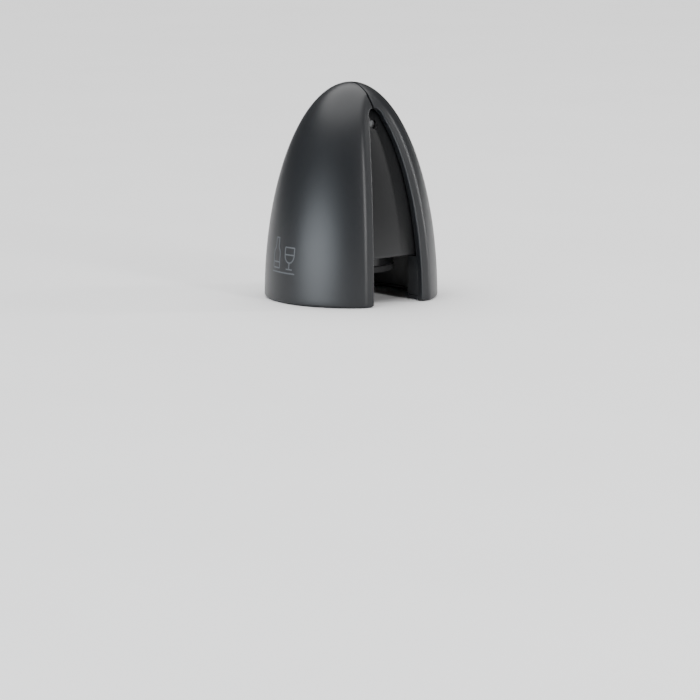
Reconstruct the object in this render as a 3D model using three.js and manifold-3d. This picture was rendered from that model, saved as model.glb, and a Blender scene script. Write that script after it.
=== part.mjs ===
// Foil cutter of an electric wine opener: an egg-shaped two-jaw cutter that stands on its open end.
// Two grip shells hang on one hinge pin under the crown, on either side of a fixed core. Squeezing them
// swings four small cutting wheels against the neck of a bottle, and turning the cutter cuts the foil.
//
// Millimetres, +Z up, origin on the resting plane under the crown. The jaws close along X, and the two
// windows that show the bottle's lip face -Y (front) and +Y (rear).

import * as THREE from "three";
import { mergeVertices } from "three/addons/utils/BufferGeometryUtils.js";
import Module from "manifold-3d";

const wasm = await Module();
wasm.setup();

// ---- Driving dimensions -------------------------------------------------------------------------

const BODY_RADIUS = 24; // outer radius of the egg at its foot
const BODY_HEIGHT = 59.4;
const FLAT_DEPTH = 21.36; // front and rear flats: half depth at the foot, and the height their curve aims at
const FLAT_HEIGHT = 60.2;
const SHELL_WALL = 2.3;
const LAND_WIDTH = 2.6; // strip of flat left between a shell's outer crease and its window
const WINDOW_SPRING_LINE = 50; // the window's sides end here, and its round head begins
const WINDOW_TOP = 53;
const FOOT_CHAMFER = 0.7;
const CROWN_SEAM = 0.4; // gap between the two shells over the crown
const SNUG = 0.05; // play round a fastener in its hole
const LOOSE = 0.1; // play round a turning pin, and between faces that meet
const BLIND = 0.2; // a blind hole is this much deeper than what stands in it

const CLEARANCE = 0.3; // between a jaw's frame and its shell
const CORE_RECESS = 2.8; // the core's faces lie this far behind the flats
const CORE_FOOT = 12.6;
const CORE_TOP = 53.2;
const CORE_UNDERLAP = 1.2; // the core reaches this far behind the shells' rims
const CORE_WALL = 2.4;
const CORE_WEB = 1.2; // half thickness of the core's middle web
const CORE_RIB = 1; // half thickness of the rib that crosses it
const CORE_HOLLOW_TOP = 41;
const CORE_CROWN_DROP = 1.6; // the core's faces aim this far below the top of the egg

const MOUTH_RADIUS = 16.5; // the round mouth that takes the bottle's lip
const STOP_FACE = 7.6; // height of the rubber face that meets the top of the bottle
const STOP_RADIUS = 11.8;
const STOP_BOSS_FOOT = 9.4;
const STEM_RADIUS = 2; // of the rubber stem that holds the stop in the core
const STEM_TOP = 13.8;

const JAW_INNER_FACE = 9.2; // the jaw blocks end at this distance from the middle plane
const BLOCK_TOP = 12;
const COVER_FOOT = 0.25;
const COVER_TOP = 1.2;
const ARM_WALL = 2.4;
const ARM_HALF_WIDTH = 8;
const ARM_NEAR = 4; // the arm stays this far from the middle plane
const RIB_DEPTH = 4.4; // of the two ribs along the arm
const RIB_PLACE = 5;
const RIB_HALF_WIDTH = 0.6;

const HINGE_HEIGHT = 48.5;
const PIN_RADIUS = 1.2;
const PIN_HALF_LENGTH = 9.2;
const KNUCKLE_RADIUS = 2.9;
const KNUCKLE_NEAR = 0.15; // a knuckle runs from here to KNUCKLE_FAR along the pin, on its own side
const KNUCKLE_FAR = 6.3;
const YOKE_INNER = 6.6; // the core's two ears begin here
const YOKE_FLOOR = 43;

const WHEEL_RADIUS = 3.5;
const WHEEL_REACH = 15.1; // distance from the cutter's axis to the wheels' edges
const WHEEL_BEARING = 45; // degrees round from the X axis
const WHEEL_PLANE = 1.9;
const WHEEL_THICKNESS = 0.7;
const HUB_RADIUS = 1.8;
const HUB_SHOULDER_RADIUS = 2.1;
const HUB_FOOT = 1.3;
const HUB_TOP = 3.4;
const WHEEL_POCKET_RADIUS = 3.9;
const WHEEL_POCKET_TOP = 2.6;
const HUB_POCKET_RADIUS = 2.35;
const DISC_BEVEL = 0.9; // width of the bevel round a cutting disc
const AXLE_RADIUS = 0.8;
const AXLE_FOOT = 0.45;
const AXLE_TOP = 7;

const SCREW_SHANK_RADIUS = 0.75;
const SCREW_HEAD_RADIUS = 1.7;
const COVER_SCREW_CIRCLE = 18.9; // radius that the cover's screws stand on
const COVER_SCREW_BEARING = 17;
const COVER_SCREW_TOP = 7.6;
const SHELL_SCREW_HEIGHT = 37;
const SHELL_SCREW_HEAD_RADIUS = 3;
const SHELL_SCREW_HEAD_DEPTH = 1.2;
const BOSS_RADIUS = 2; // of the post inside the shell that takes its screw
const BOSS_LENGTH = 4.2; // from the shell's inner face
const COLLAR_RADIUS = 3.4; // round that post, on the jaw's arm
const SCREW_HEAD_DEPTH = 0.75; // of a countersunk head
const SLOT_HALF_WIDTH = 0.22;
const SCREW_POINT = 0.8; // length of a cover screw's point

const SPRING_HEIGHT = 27;
const SPRING_RADIUS = 2; // of the wire's centreline
const SPRING_WIRE = 0.3; // radius of the wire
const SPRING_TURNS = 8;
const SPRING_INNER = 1.9;
const SPRING_OUTER = 16.1;
const SPRING_POST_RADIUS = 1.3;
const SPRING_POST_LENGTH = 2.6;
const SPRING_POST_ROOT = 1.5; // how far a post runs back into its jaw
const SPRING_POCKET_RADIUS = 2.7; // in the core
const SPRING_TUBE_RADIUS = 4.2; // of the core's solid part round the springs

// ---- Derived places -----------------------------------------------------------------------------

const wheelCircle = WHEEL_REACH + WHEEL_RADIUS;
const wheelX = wheelCircle * Math.cos(THREE.MathUtils.degToRad(WHEEL_BEARING));
const wheelY = wheelCircle * Math.sin(THREE.MathUtils.degToRad(WHEEL_BEARING));
const screwX = COVER_SCREW_CIRCLE * Math.cos(THREE.MathUtils.degToRad(COVER_SCREW_BEARING));
const screwY = COVER_SCREW_CIRCLE * Math.sin(THREE.MathUtils.degToRad(COVER_SCREW_BEARING));
const PAST = 5; // how far a cutting tool runs past what it cuts
const FAR = 40; // beyond the whole body

// Half width of an ellipse of the given half axes at a height above its middle.
function ellipseAt(halfWidth, height, z) {
  return halfWidth * Math.sqrt(Math.max(0, 1 - (z / height) ** 2));
}

// Half width of a front flat, from the middle plane to the crease where the round grip begins.
function creaseAt(z) {
  const round = ellipseAt(BODY_RADIUS, BODY_HEIGHT, z);
  const flat = ellipseAt(FLAT_DEPTH, FLAT_HEIGHT, z);
  return Math.sqrt(Math.max(0, round ** 2 - flat ** 2));
}

// Half width of a window at a height.
function windowAt(z) {
  if (z <= WINDOW_SPRING_LINE) return creaseAt(Math.max(0, z)) - LAND_WIDTH;
  const head = WINDOW_TOP - WINDOW_SPRING_LINE;
  return ellipseAt(windowAt(WINDOW_SPRING_LINE), head, z - WINDOW_SPRING_LINE);
}

// Half width of the core, which fills the window from behind.
function coreAt(z) {
  if (z <= WINDOW_SPRING_LINE) return windowAt(z) + CORE_UNDERLAP;
  const head = CORE_TOP - WINDOW_SPRING_LINE;
  return ellipseAt(coreAt(WINDOW_SPRING_LINE), head, z - WINDOW_SPRING_LINE);
}

// ---- Solids -------------------------------------------------------------------------------------

// A three.js geometry as a manifold-3d solid.
function solid(geometry) {
  const bare = geometry.clone();
  bare.deleteAttribute("normal");
  bare.deleteAttribute("uv");
  const merged = mergeVertices(bare, 1e-4);
  const vertProperties = merged.attributes.position.array;
  const triVerts = new Uint32Array(merged.index.array);
  return new wasm.Manifold(new wasm.Mesh({ numProp: 3, vertProperties, triVerts }));
}

// A manifold-3d solid as a three.js geometry with flat shading.
function geometryOf(body) {
  const mesh = body.getMesh();
  const positions = new Float32Array(mesh.numVert * 3);
  for (let i = 0; i < mesh.numVert; i++) {
    positions.set(mesh.vertProperties.subarray(i * mesh.numProp, i * mesh.numProp + 3), i * 3);
  }
  const indexed = new THREE.BufferGeometry();
  indexed.setAttribute("position", new THREE.BufferAttribute(positions, 3));
  indexed.setIndex(new THREE.BufferAttribute(mesh.triVerts, 1));
  const flat = indexed.toNonIndexed();
  flat.computeVertexNormals();
  return flat;
}

function box(x0, x1, y0, y1, z0, z1) {
  const geometry = new THREE.BoxGeometry(x1 - x0, y1 - y0, z1 - z0);
  geometry.translate((x0 + x1) / 2, (y0 + y1) / 2, (z0 + z1) / 2);
  return solid(geometry);
}

// A solid of revolution about Z. The profile is [radius, height] pairs, from the axis to the axis or closed.
function turned(profile, segments = 48) {
  const points = profile.map(([r, z]) => new THREE.Vector2(r, z));
  const geometry = new THREE.LatheGeometry(points, segments);
  geometry.rotateX(Math.PI / 2);
  return solid(geometry);
}

function rod(radius, z0, z1, segments = 24) {
  return turned([[0, z0], [radius, z0], [radius, z1], [0, z1]], segments);
}

// The same solid lying along X or along Y instead of Z.
const alongX = (body) => body.rotate([0, 90, 0]);
const alongY = (body) => body.rotate([-90, 0, 0]);

// Half an ellipsoid. Its foot may be chamfered, or run straight down past the resting plane.
function egg(radius, height, { foot = -PAST, chamfer = 0, segments = 36, steps = 10 } = {}) {
  const profile = [
    [0, foot],
    [radius - chamfer, foot],
    [radius, Math.max(foot, 0) + chamfer],
  ];
  for (let i = 1; i < steps; i++) {
    const angle = (i / steps) * (Math.PI / 2);
    profile.push([radius * Math.cos(angle), height * Math.sin(angle)]);
  }
  profile.push([0, height]);
  return turned(profile, segments);
}

// An egg a given distance inside the outer one.
function innerEgg(inset, options) {
  return egg(BODY_RADIUS - inset, BODY_HEIGHT - inset, options);
}

// A symmetric outline given by its half width at each height, extruded through the whole body.
function outlined(halfWidthAt, heights, halfLength, alongDepth) {
  const right = heights.map((z) => new THREE.Vector2(halfWidthAt(z), z));
  const left = [...right].reverse().map((p) => new THREE.Vector2(-p.x, p.y));
  const shape = new THREE.Shape(right.concat(left.filter((p) => p.x < -1e-6)));
  const geometry = new THREE.ExtrudeGeometry(shape, { depth: 2 * halfLength, bevelEnabled: false });
  geometry.translate(0, 0, -halfLength);
  const across = new THREE.Matrix4();
  const [x, y, z] = [new THREE.Vector3(1, 0, 0), new THREE.Vector3(0, 1, 0), new THREE.Vector3(0, 0, 1)];
  // The outline's own x runs along X and it is extruded along Y, or the other way about.
  if (alongDepth) across.makeBasis(y, z, x);
  else across.makeBasis(x, z, y.clone().negate());
  return solid(geometry.applyMatrix4(across));
}

function levels(from, to, count) {
  return Array.from({ length: count + 1 }, (_, i) => from + ((to - from) * i) / count);
}

// Heights whose spacing closes up towards the top of an ellipse, so that its head stays round.
function roundLevels(from, to, count) {
  const quarter = Math.PI / 2;
  return Array.from({ length: count + 1 }, (_, i) => from + (to - from) * Math.sin((i / count) * quarter));
}

// A prism along X whose outline in Y and Z is half an ellipse that runs straight down past its foot.
function flatPrism(depth, height) {
  const heights = [-PAST, ...roundLevels(0, height, 16)];
  return outlined((z) => ellipseAt(depth, height, Math.max(0, z)), heights, FAR, true);
}

// ---- The shells ---------------------------------------------------------------------------------

const outside = { foot: 0, chamfer: FOOT_CHAMFER, segments: 48, steps: 15 };
const shavedEgg = egg(BODY_RADIUS, BODY_HEIGHT, outside).intersect(flatPrism(FLAT_DEPTH, FLAT_HEIGHT));
const windowHeights = [
  -PAST,
  ...levels(0, WINDOW_SPRING_LINE, 14),
  ...roundLevels(WINDOW_SPRING_LINE, WINDOW_TOP, 5).slice(1),
];
const windowTool = outlined(windowAt, windowHeights, FAR, false);

// The inside of the closed egg a given distance in from its outer surface, flats and all.
function hollowAt(inset) {
  return innerEgg(inset).intersect(flatPrism(FLAT_DEPTH - inset, FLAT_HEIGHT - inset));
}

// Envelope of everything that sits inside a shell.
const insideShell = hollowAt(SHELL_WALL + CLEARANCE);

const bossX = ellipseAt(BODY_RADIUS - SHELL_WALL, BODY_HEIGHT - SHELL_WALL, SHELL_SCREW_HEIGHT);

function wheelPocket(side) {
  return rod(WHEEL_POCKET_RADIUS, COVER_TOP, WHEEL_POCKET_TOP, 24).translate([wheelX, side * wheelY, 0]);
}

// The +X grip shell.
function gripShell() {
  const cavity = hollowAt(SHELL_WALL);
  const boss = alongX(rod(BOSS_RADIUS, bossX - BOSS_LENGTH, bossX + SHELL_WALL / 2, 20));
  const pilot = alongX(rod(SCREW_SHANK_RADIUS + SNUG, bossX - BOSS_LENGTH - 1, bossX + 0.6, 16));
  return shavedEgg
    .subtract(cavity)
    .subtract(windowTool)
    .subtract(box(-FAR, CROWN_SEAM / 2, -FAR, FAR, -PAST, BODY_HEIGHT + PAST))
    .add(boss.translate([0, 0, SHELL_SCREW_HEIGHT]))
    .subtract(pilot.translate([0, 0, SHELL_SCREW_HEIGHT]))
    .subtract(wheelPocket(1))
    .subtract(wheelPocket(-1));
}

// ---- The jaws' frames, covers and fasteners -----------------------------------------------------

const mouth = rod(MOUTH_RADIUS, -PAST, BODY_HEIGHT, 48);

// The crescent between the round mouth and the shell, from one height to another.
function crescent(z0, z1) {
  return insideShell
    .intersect(box(JAW_INNER_FACE, FAR, -FAR, FAR, z0, z1))
    .subtract(mouth);
}

// Both copies of a tool, in front of and behind the middle plane.
function mirrored(tool, x, y) {
  return tool.translate([x, y, 0]).add(tool.translate([x, -y, 0]));
}

// The +X jaw: a block that carries two wheels, an arm up the inside of the shell, and a knuckle on the pin.
function jawFrame() {
  const inset = SHELL_WALL + CLEARANCE;
  const wallBack = innerEgg(inset + ARM_WALL);
  const ribBack = innerEgg(inset + RIB_DEPTH);
  const armFoot = BLOCK_TOP - 1;
  const armTop = HINGE_HEIGHT - KNUCKLE_RADIUS;
  const armSpace = box(ARM_NEAR, FAR, -ARM_HALF_WIDTH, ARM_HALF_WIDTH, armFoot, armTop + 1);
  const arm = insideShell.subtract(wallBack).intersect(armSpace);
  const ribs = [-RIB_PLACE, RIB_PLACE].map((y) => {
    const ribSpace = box(ARM_NEAR, FAR, y - RIB_HALF_WIDTH, y + RIB_HALF_WIDTH, armFoot, armTop);
    return insideShell.subtract(ribBack).intersect(ribSpace);
  });
  const shoulder = insideShell.intersect(
    box(0, FAR, KNUCKLE_NEAR, KNUCKLE_FAR, armTop, HINGE_HEIGHT + KNUCKLE_RADIUS),
  );
  const knuckle = alongY(rod(KNUCKLE_RADIUS, KNUCKLE_NEAR, KNUCKLE_FAR, 28)).translate([0, 0, HINGE_HEIGHT]);
  const collar = alongX(rod(COLLAR_RADIUS, bossX - BOSS_LENGTH + LOOSE, bossX - 1, 24));
  const collarHole = alongX(rod(BOSS_RADIUS + 0.25, 0, FAR, 20));
  const postStart = SPRING_OUTER - SPRING_POST_LENGTH;
  const springPost = alongX(rod(SPRING_POST_RADIUS, postStart, SPRING_OUTER + SPRING_POST_ROOT, 16));
  const pinHole = alongY(rod(PIN_RADIUS + LOOSE, -FAR, FAR, 28)).translate([0, 0, HINGE_HEIGHT]);
  const hubPocket = rod(HUB_POCKET_RADIUS, WHEEL_PLANE, HUB_TOP + BLIND, 24);
  const axleHole = rod(AXLE_RADIUS + SNUG, 0, AXLE_TOP + BLIND, 20);
  const screwHole = rod(SCREW_SHANK_RADIUS + SNUG, 0, COVER_SCREW_TOP + 2 * BLIND, 16);
  return crescent(COVER_TOP + LOOSE, BLOCK_TOP)
    .add(arm)
    .add(ribs[0])
    .add(ribs[1])
    .add(shoulder)
    .add(knuckle)
    .add(collar.translate([0, 0, SHELL_SCREW_HEIGHT]).intersect(insideShell))
    .subtract(collarHole.translate([0, 0, SHELL_SCREW_HEIGHT]))
    .add(springPost.translate([0, 0, SPRING_HEIGHT]))
    .subtract(pinHole)
    .subtract(wheelPocket(1))
    .subtract(wheelPocket(-1))
    .subtract(mirrored(hubPocket, wheelX, wheelY))
    .subtract(mirrored(axleHole, wheelX, wheelY))
    .subtract(mirrored(screwHole, screwX, screwY));
}

// The +X cover, a thin crescent that closes the wheels' pockets from below.
function wheelCover() {
  const countersink = turned(
    [
      [0, -PAST],
      [SCREW_HEAD_RADIUS + LOOSE, -PAST],
      [SCREW_HEAD_RADIUS + LOOSE, COVER_FOOT + 2 * SNUG],
      [SCREW_SHANK_RADIUS + LOOSE, COVER_FOOT + SCREW_HEAD_DEPTH],
      [SCREW_SHANK_RADIUS + LOOSE, PAST],
      [0, PAST],
    ],
    24,
  );
  return crescent(COVER_FOOT, COVER_TOP)
    .subtract(mirrored(countersink, screwX, screwY))
    .subtract(mirrored(rod(AXLE_RADIUS + SNUG, 0, PAST, 20), wheelX, wheelY));
}

// Two crossed slots for a screwdriver, cut upwards into a head from its face.
function crossSlot(size, depth) {
  const half = SLOT_HALF_WIDTH;
  return box(-size, size, -half, half, -1, depth).add(box(-half, half, -size, size, -1, depth));
}

// A countersunk self-tapping screw, head down.
function coverScrew() {
  const profile = [
    [0, COVER_FOOT + SNUG],
    [SCREW_HEAD_RADIUS, COVER_FOOT + SNUG],
    [SCREW_HEAD_RADIUS, COVER_FOOT + 3 * SNUG],
    [SCREW_SHANK_RADIUS, COVER_FOOT + SCREW_HEAD_DEPTH + SNUG],
    [SCREW_SHANK_RADIUS, COVER_SCREW_TOP - SCREW_POINT],
    [0, COVER_SCREW_TOP],
  ];
  return turned(profile, 20).subtract(crossSlot(1, COVER_FOOT + 0.4));
}

// A pan-head screw that holds a shell to its jaw, lying along X with its head inside.
function shellScrew() {
  const head = bossX - BOSS_LENGTH - LOOSE; // underside of the head
  const face = head - SHELL_SCREW_HEAD_DEPTH;
  const rounding = 0.5;
  const profile = [
    [0, face],
    [SHELL_SCREW_HEAD_RADIUS - rounding, face],
    [SHELL_SCREW_HEAD_RADIUS, face + rounding],
    [SHELL_SCREW_HEAD_RADIUS, head],
    [SCREW_SHANK_RADIUS, head],
    [SCREW_SHANK_RADIUS, bossX - 0.6],
    [0, bossX],
  ];
  return alongX(turned(profile, 20).subtract(crossSlot(1.4, 0.6).translate([0, 0, face])));
}

// ---- The cutting wheels -------------------------------------------------------------------------

// A hardened disc with a bevel on both faces.
function cuttingDisc() {
  const bore = HUB_RADIUS + SNUG;
  const [low, high] = [WHEEL_PLANE - WHEEL_THICKNESS / 2, WHEEL_PLANE + WHEEL_THICKNESS / 2];
  const bevel = WHEEL_RADIUS - DISC_BEVEL;
  const edge = 0.04;
  const profile = [
    [bore, low],
    [bevel, low],
    [WHEEL_RADIUS, WHEEL_PLANE - edge],
    [WHEEL_RADIUS, WHEEL_PLANE + edge],
    [bevel, high],
    [bore, high],
    [bore, low],
  ];
  return turned(profile, 32);
}

// The plastic bush that the disc is pressed on and that turns on the axle.
function wheelHub() {
  const bore = AXLE_RADIUS + 0.08;
  const shoulder = WHEEL_PLANE + WHEEL_THICKNESS / 2 + 0.03;
  const profile = [
    [bore, HUB_FOOT],
    [HUB_RADIUS, HUB_FOOT],
    [HUB_RADIUS, shoulder],
    [HUB_SHOULDER_RADIUS, shoulder],
    [HUB_SHOULDER_RADIUS, HUB_TOP],
    [bore, HUB_TOP],
    [bore, HUB_FOOT],
  ];
  return turned(profile, 20);
}

function wheelAxle() {
  const chamfer = 0.2;
  const profile = [
    [0, AXLE_FOOT],
    [AXLE_RADIUS - chamfer, AXLE_FOOT],
    [AXLE_RADIUS, AXLE_FOOT + chamfer],
    [AXLE_RADIUS, AXLE_TOP - chamfer],
    [AXLE_RADIUS - chamfer, AXLE_TOP],
    [0, AXLE_TOP],
  ];
  return turned(profile, 16);
}

// ---- The core and what it carries ---------------------------------------------------------------

// The fixed middle: front and rear faces joined by a web, a stop boss for the bottle, two ears for the pin.
function coreFrame() {
  const depth = FLAT_DEPTH - CORE_RECESS;
  const height = BODY_HEIGHT - CORE_CROWN_DROP;
  const heights = [
    ...levels(CORE_FOOT, WINDOW_SPRING_LINE, 16),
    ...roundLevels(WINDOW_SPRING_LINE, CORE_TOP, 4).slice(1),
  ];
  const slab = outlined(coreAt, heights, FAR, false).intersect(flatPrism(depth, height));
  const boss = rod(STOP_RADIUS, STOP_BOSS_FOOT, CORE_FOOT + 0.5, 40);
  const hollow = flatPrism(depth - CORE_WALL, height - CORE_WALL);
  const springTube = alongX(rod(SPRING_TUBE_RADIUS, -FAR, FAR, 24)).translate([0, 0, SPRING_HEIGHT]);
  const rib = box(-FAR, FAR, -CORE_RIB, CORE_RIB, -PAST, BODY_HEIGHT);
  const web = box(-CORE_WEB, CORE_WEB, -FAR, FAR, -PAST, BODY_HEIGHT);
  const hollowSpace = box(-FAR, FAR, -FAR, FAR, CORE_FOOT + CORE_WALL, CORE_HOLLOW_TOP);
  const lightening = hollow.intersect(hollowSpace).subtract(springTube).subtract(rib).subtract(web);
  const yokeGap = box(-FAR, FAR, -YOKE_INNER, YOKE_INNER, YOKE_FLOOR, BODY_HEIGHT);
  const pinHole = alongY(rod(PIN_RADIUS + SNUG, -FAR, FAR, 28)).translate([0, 0, HINGE_HEIGHT]);
  const springPocket = alongX(rod(SPRING_POCKET_RADIUS, SPRING_INNER - SPRING_WIRE, FAR, 24));
  const stemHole = rod(STEM_RADIUS + BLIND, 0, STEM_TOP + BLIND, 24);
  return slab
    .add(boss)
    .subtract(lightening)
    .subtract(yokeGap)
    .subtract(pinHole)
    .subtract(springPocket.translate([0, 0, SPRING_HEIGHT]))
    .subtract(springPocket.rotate([0, 0, 180]).translate([0, 0, SPRING_HEIGHT]))
    .subtract(stemHole);
}

// A rubber disc with a stem that pushes up into the core.
function stopPad() {
  const profile = [
    [0, STOP_FACE],
    [STOP_RADIUS - 0.5, STOP_FACE],
    [STOP_RADIUS, STOP_FACE + 0.5],
    [STOP_RADIUS, STOP_BOSS_FOOT - LOOSE],
    [STEM_RADIUS, STOP_BOSS_FOOT - LOOSE],
    [STEM_RADIUS, STEM_TOP - 0.4],
    [STEM_RADIUS - 0.4, STEM_TOP],
    [0, STEM_TOP],
  ];
  return turned(profile, 36);
}

function hingePin() {
  const chamfer = 0.25;
  const profile = [
    [0, -PIN_HALF_LENGTH],
    [PIN_RADIUS - chamfer, -PIN_HALF_LENGTH],
    [PIN_RADIUS, chamfer - PIN_HALF_LENGTH],
    [PIN_RADIUS, PIN_HALF_LENGTH - chamfer],
    [PIN_RADIUS - chamfer, PIN_HALF_LENGTH],
    [0, PIN_HALF_LENGTH],
  ];
  return alongY(turned(profile, 28)).translate([0, 0, HINGE_HEIGHT]);
}

// A compression spring's centreline, an even helix along +X.
class SpringPath extends THREE.Curve {
  getPoint(t, target = new THREE.Vector3()) {
    const angle = t * SPRING_TURNS * 2 * Math.PI;
    const x = THREE.MathUtils.lerp(SPRING_INNER + SPRING_WIRE, SPRING_OUTER - SPRING_WIRE, t);
    return target.set(x, SPRING_RADIUS * Math.cos(angle), SPRING_HEIGHT + SPRING_RADIUS * Math.sin(angle));
  }
}

function returnSpring() {
  const section = new THREE.Shape();
  section.absarc(0, 0, SPRING_WIRE, 0, 2 * Math.PI);
  const options = { steps: SPRING_TURNS * 10, curveSegments: 3, extrudePath: new SpringPath() };
  return solid(new THREE.ExtrudeGeometry(section, options));
}

// ---- Materials ----------------------------------------------------------------------------------

const material = (color, roughness, metalness = 0) =>
  new THREE.MeshStandardMaterial({ color, roughness, metalness });

const gripPlastic = material(0x45474b, 0.5);
const corePlastic = material(0x242528, 0.55);
const jawPlastic = material(0x1b1c1e, 0.6);
const coverPlastic = material(0x202124, 0.5);
const hubPlastic = material(0x303236, 0.45);
const bladeSteel = material(0xc4c7ca, 0.25, 1);
const pinSteel = material(0xa9acb0, 0.35, 1);
const springSteel = material(0x9a9da1, 0.4, 1);
const stopRubber = material(0x141416, 0.85);

// ---- Assembly -----------------------------------------------------------------------------------

function part(name, body, look) {
  const mesh = new THREE.Mesh(geometryOf(body), look);
  mesh.name = name;
  return mesh;
}

// Every piece of one jaw, drawn on the +X side. The other jaw is the same set turned half round the Z axis.
function jaw(side) {
  const group = new THREE.Group();
  group.add(part(`${side}_grip_shell`, gripShell(), gripPlastic));
  group.add(part(`${side}_jaw_frame`, jawFrame(), jawPlastic));
  group.add(part(`${side}_wheel_cover`, wheelCover(), coverPlastic));
  const lifted = part(`${side}_shell_screw`, shellScrew(), pinSteel);
  lifted.position.z = SHELL_SCREW_HEIGHT;
  group.add(lifted);
  group.add(part(`${side}_return_spring`, returnSpring(), springSteel));
  const turnedRound = side === "left";
  for (const end of ["front", "rear"]) {
    const y = (end === "front") === turnedRound ? 1 : -1;
    const placed = [
      [part(`${side}_${end}_cutting_disc`, cuttingDisc(), bladeSteel), wheelX, wheelY],
      [part(`${side}_${end}_wheel_hub`, wheelHub(), hubPlastic), wheelX, wheelY],
      [part(`${side}_${end}_wheel_axle`, wheelAxle(), pinSteel), wheelX, wheelY],
      [part(`${side}_${end}_cover_screw`, coverScrew(), pinSteel), screwX, screwY],
    ];
    for (const [mesh, x, away] of placed) {
      mesh.position.set(x, y * away, 0);
      group.add(mesh);
    }
  }
  if (turnedRound) group.rotation.z = Math.PI;
  return group;
}

const foilCutter = new THREE.Group();
foilCutter.add(part("core_frame", coreFrame(), corePlastic));
foilCutter.add(part("bottle_stop_pad", stopPad(), stopRubber));
foilCutter.add(part("hinge_pin", hingePin(), pinSteel));
foilCutter.add(jaw("right"));
foilCutter.add(jaw("left"));

export default foilCutter;
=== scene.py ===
"""The finished look of an egg-shaped foil cutter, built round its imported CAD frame.

Working units are millimetres in the row's frame: +Z up, the jaws close along X and the windows
face -Y and +Y. Every piece of one jaw is made on the +X side and turned half round Z for the other.
Only the camera and the lights are placed in metres.
"""

import math

import bmesh
import bpy
from mathutils import Matrix, Vector


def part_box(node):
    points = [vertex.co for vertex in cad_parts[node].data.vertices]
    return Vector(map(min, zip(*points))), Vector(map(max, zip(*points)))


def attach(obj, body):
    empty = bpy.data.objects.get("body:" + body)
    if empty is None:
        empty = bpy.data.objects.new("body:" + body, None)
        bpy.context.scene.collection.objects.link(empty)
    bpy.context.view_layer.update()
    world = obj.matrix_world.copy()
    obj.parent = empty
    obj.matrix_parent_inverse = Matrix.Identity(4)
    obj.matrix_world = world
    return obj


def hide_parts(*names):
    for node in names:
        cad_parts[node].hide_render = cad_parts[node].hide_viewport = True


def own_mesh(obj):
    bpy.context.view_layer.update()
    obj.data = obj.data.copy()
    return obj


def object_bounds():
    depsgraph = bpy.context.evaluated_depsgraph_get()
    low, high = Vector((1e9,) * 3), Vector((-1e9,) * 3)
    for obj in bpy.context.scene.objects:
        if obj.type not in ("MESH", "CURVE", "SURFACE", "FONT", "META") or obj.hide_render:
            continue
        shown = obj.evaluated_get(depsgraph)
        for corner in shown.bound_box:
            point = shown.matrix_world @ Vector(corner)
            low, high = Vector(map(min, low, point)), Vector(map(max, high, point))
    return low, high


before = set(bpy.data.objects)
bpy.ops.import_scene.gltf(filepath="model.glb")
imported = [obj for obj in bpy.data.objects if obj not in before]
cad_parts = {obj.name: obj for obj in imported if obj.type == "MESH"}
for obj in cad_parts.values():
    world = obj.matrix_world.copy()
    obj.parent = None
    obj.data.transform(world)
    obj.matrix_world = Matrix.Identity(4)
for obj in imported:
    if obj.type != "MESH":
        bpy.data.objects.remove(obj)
cad_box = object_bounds()

# ---- Driving dimensions, in millimetres --------------------------------------------------------

MM = 0.001
BODY_RADIUS = cad_box[1][0] / MM
FLAT_DEPTH = cad_box[1][1] / MM
BODY_HEIGHT = 59.4
FLAT_HEIGHT = 60.2
SHELL_WALL = 2.3
LAND_WIDTH = 2.6
WINDOW_SPRING_LINE = 50
WINDOW_TOP = 53
SEAM_HALF = 0.2
CLEARANCE = 0.3

CORE_RECESS = 2.8
CORE_FOOT = 12.6
CORE_TOP = 53.2
CORE_UNDERLAP = 1.2
CORE_WALL = 2.4
CORE_WEB = 1.2
CORE_RIB = 1
CORE_HOLLOW_TOP = 41
CORE_CROWN_DROP = 1.6

MOUTH_RADIUS = 16.5
STOP_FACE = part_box("bottle_stop_pad")[0].z / MM
STOP_RADIUS = 11.8
STOP_BOSS_FOOT = 9.4
RING_COUNT = 6
RING_GAP = 1.5
RING_DEPTH = 0.25
STEM_RADIUS = 2
STEM_TOP = 13.8

JAW_INNER_FACE = 9.2
BLOCK_TOP = 12
COVER_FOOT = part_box("right_wheel_cover")[0].z / MM
COVER_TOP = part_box("right_wheel_cover")[1].z / MM
ARM_WALL = 2.4
ARM_HALF_WIDTH = 8
ARM_NEAR = 4
RIB_DEPTH = 4.4
RIB_PLACE = 5
RIB_HALF_WIDTH = 0.6

HINGE_HEIGHT = 48.5
PIN_RADIUS = 1.2
PIN_HALF_LENGTH = 9.2
KNUCKLE_RADIUS = 2.9
KNUCKLE_NEAR = 0.15
KNUCKLE_FAR = 6.3
YOKE_INNER = 6.6
YOKE_FLOOR = 43

WHEEL_RADIUS = 3.5
WHEEL_PLANE = 1.9
WHEEL_THICKNESS = 0.7
HUB_RADIUS = 1.8
HUB_SHOULDER_RADIUS = 2.1
HUB_FOOT = 1.3
HUB_TOP = 3.4
AXLE_RADIUS = 0.8
AXLE_FOOT = 0.45
AXLE_TOP = 7

SCREW_SHANK_RADIUS = 0.75
SCREW_HEAD_RADIUS = 1.7
SCREW_HEAD_DEPTH = 0.75
COVER_SCREW_TOP = 7.6
SHELL_SCREW_HEIGHT = 37
SHELL_SCREW_HEAD_RADIUS = 3
SHELL_SCREW_HEAD_DEPTH = 1.2
BOSS_RADIUS = 2
BOSS_LENGTH = 4.2
PILOT_DEPTH = 0.6
COLLAR_RADIUS = 3.4

SPRING_HEIGHT = 27
SPRING_RADIUS = 2
SPRING_WIRE = 0.3
SPRING_TURNS = 8
SPRING_INNER = 1.9
SPRING_OUTER = 16.1
SPRING_POST_RADIUS = 1.3
SPRING_POST_LENGTH = 2.6

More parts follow.
